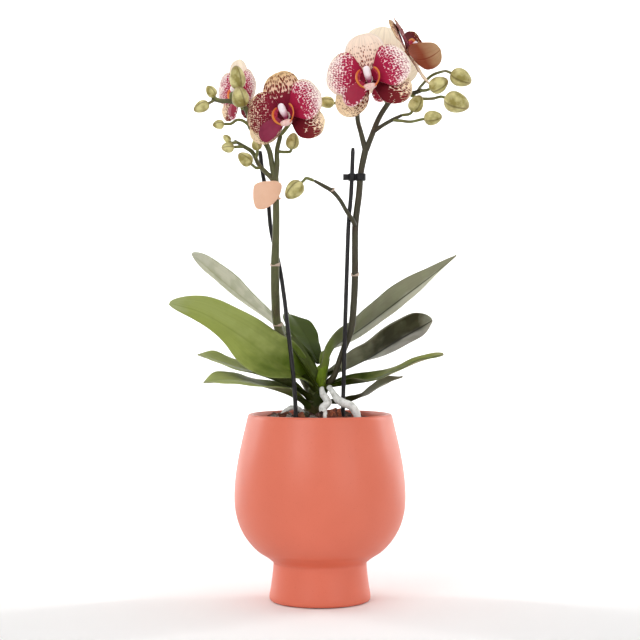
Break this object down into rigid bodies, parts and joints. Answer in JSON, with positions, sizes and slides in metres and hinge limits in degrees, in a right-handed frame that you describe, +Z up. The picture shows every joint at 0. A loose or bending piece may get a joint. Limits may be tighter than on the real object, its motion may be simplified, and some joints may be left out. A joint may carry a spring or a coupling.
{
  "type": "potted moth orchid",
  "caption": "Small moth orchid with spotted open flowers, buds and strap leaves on staked spikes, growing in bark in a footed ceramic pot.",
  "frame": {"origin": "middle of the pot's foot, on the surface that it stands on", "axes": "+Z up the plant, the pictured front faces -Y, +X to the right as seen from the front"},
  "size_m": [0.2092, 0.1194, 0.4066],
  "materials": {
    "pot_ceramic": "satin",
    "growing_pot_plastic": "matte",
    "bark": "matte",
    "crown": "matte",
    "leaf": "satin",
    "aerial_root": "matte",
    "spike": "satin",
    "stake_plastic": "satin",
    "clip_plastic": "satin",
    "tag_card": "matte",
    "tepal": "satin",
    "lip": "satin",
    "column": "satin"
  },
  "bodies": {
    "root": {"ceramic_pot": "pot_ceramic", "growing_pot": "growing_pot_plastic", "bark": "bark", "crown": "crown", "root_front": "aerial_root", "root_right": "aerial_root", "root_left": "aerial_root", "stake_left": "stake_plastic", "stake_right": "stake_plastic", "stake_clip": "clip_plastic", "leaf_left_upper": "leaf", "leaf_left_broad": "leaf", "leaf_back": "leaf", "leaf_left_lower": "leaf", "leaf_left_lowest": "leaf", "leaf_right_upper": "leaf", "leaf_right_middle": "leaf", "leaf_right_lower": "leaf", "leaf_right_lowest": "leaf", "spike_left": "spike", "spike_right": "spike", "flower_right_tepals": "tepal", "flower_right_lip": "lip", "flower_right_column": "column", "flower_right_rear_tepals": "tepal", "flower_right_rear_lip": "lip", "flower_right_rear_column": "column", "flower_right_top_tepals": "tepal", "flower_right_top_lip": "lip", "flower_right_top_column": "column", "flower_left_tepals": "tepal", "flower_left_lip": "lip", "flower_left_column": "column", "flower_left_rear_tepals": "tepal", "flower_left_rear_lip": "lip", "flower_left_rear_column": "column", "tag": "tag_card"}
  },
  "joints": []
}
